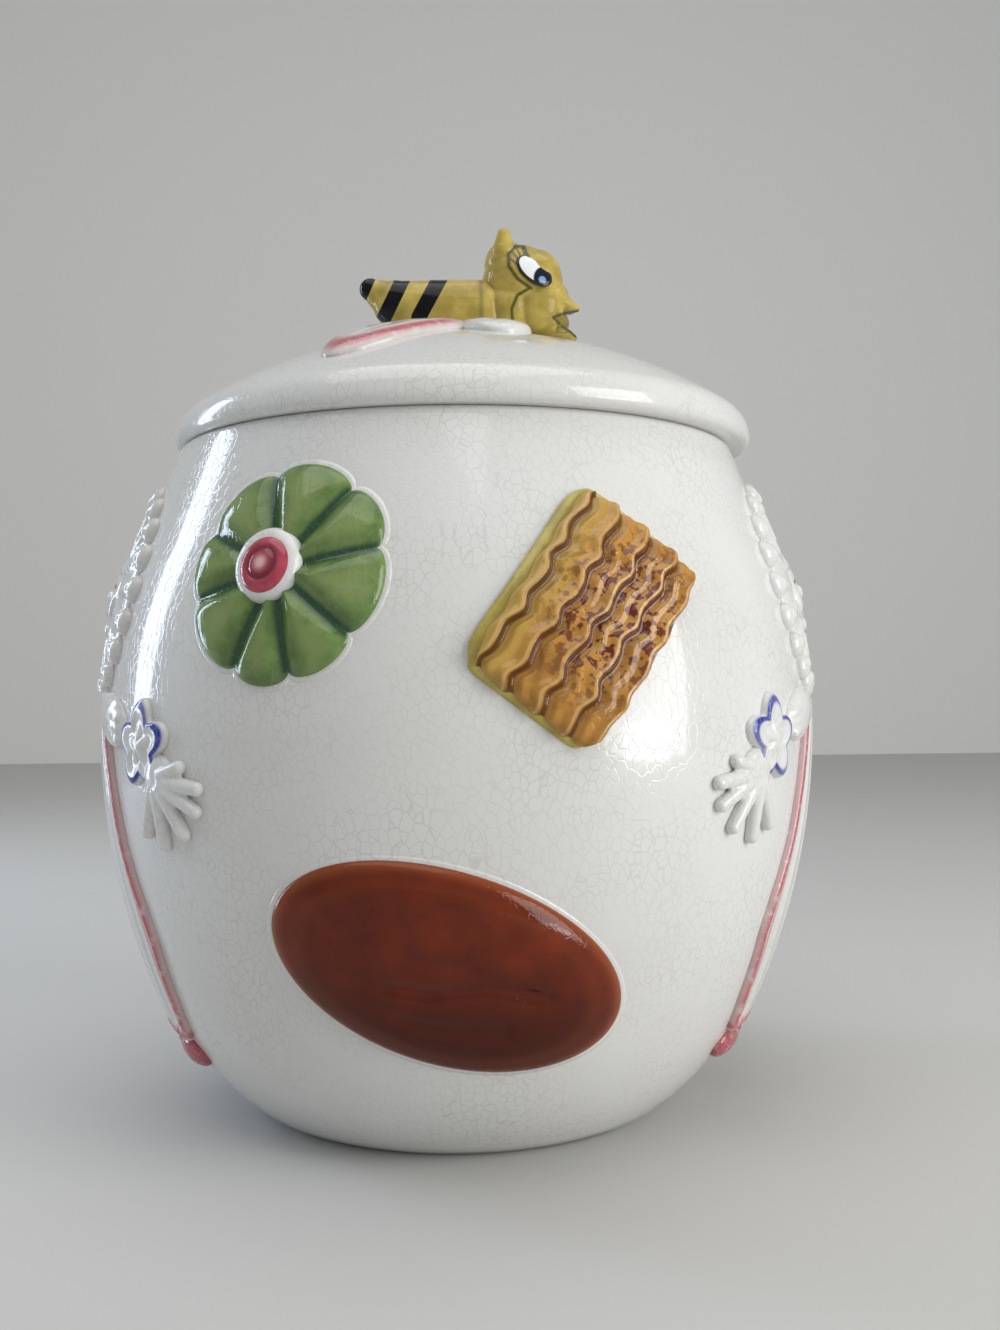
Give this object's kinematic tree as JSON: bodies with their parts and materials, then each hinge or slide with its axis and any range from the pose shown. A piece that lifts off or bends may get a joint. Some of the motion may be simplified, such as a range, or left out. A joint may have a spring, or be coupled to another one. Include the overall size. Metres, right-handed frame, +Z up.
{
  "type": "biscuit jar",
  "caption": "Round-bellied glazed ceramic biscuit jar with applied biscuit and doll reliefs and a loose domed lid with a bee knob.",
  "frame": {"origin": "on the table, under the middle of the jar's foot", "axes": "+Z up through the mouth and the lid, -Y towards the front that carries the three biscuits"},
  "size_m": [0.1996, 0.1965, 0.2453],
  "materials": {
    "white_glaze": "clear gloss glaze over underglaze colour, finely crazed",
    "green_glaze": "clear gloss glaze over underglaze colour, finely crazed",
    "cherry_glaze": "clear gloss glaze over underglaze colour, finely crazed",
    "olive_glaze": "clear gloss glaze over underglaze colour, finely crazed",
    "wafer_glaze": "clear gloss glaze over underglaze colour, finely crazed",
    "chestnut_glaze": "clear gloss glaze over underglaze colour, finely crazed",
    "bee_glaze": "clear gloss glaze over underglaze colour, finely crazed",
    "eye_glaze": "clear gloss glaze over underglaze colour, finely crazed",
    "wing_glaze": "clear gloss glaze over underglaze colour, finely crazed",
    "cuff_glaze": "clear gloss glaze over underglaze colour, finely crazed",
    "gown_glaze": "clear gloss glaze over underglaze colour, finely crazed",
    "shoe_glaze": "clear gloss glaze over underglaze colour, finely crazed"
  },
  "bodies": {
    "jar": {"flower_cherry": "cherry_glaze", "flower_icing": "white_glaze", "flower_petals": "green_glaze", "jar_body": "white_glaze", "left_bonnet": "white_glaze", "left_cuffs": "cuff_glaze", "left_face": "white_glaze", "left_gown": "gown_glaze", "left_hands": "white_glaze", "left_ringlets": "white_glaze", "left_shoes": "shoe_glaze", "left_sleeves": "white_glaze", "oval_biscuit": "chestnut_glaze", "right_bonnet": "white_glaze", "right_cuffs": "cuff_glaze", "right_face": "white_glaze", "right_gown": "gown_glaze", "right_hands": "white_glaze", "right_ringlets": "white_glaze", "right_shoes": "shoe_glaze", "right_sleeves": "white_glaze", "wafer_base": "olive_glaze", "wafer_top": "wafer_glaze"},
    "lid": {"lid_shell": "white_glaze", "bee_abdomen": "bee_glaze", "bee_head": "bee_glaze", "bee_antennae": "bee_glaze", "bee_eyes": "eye_glaze", "bee_wing_left": "wing_glaze", "bee_wing_right": "wing_glaze"}
  },
  "joints": [
    {"name": "lid_lift", "type": "slide", "parent": "jar", "child": "lid", "axis": [0, 0, 1], "range_m": [0, 0.06]}
  ]
}
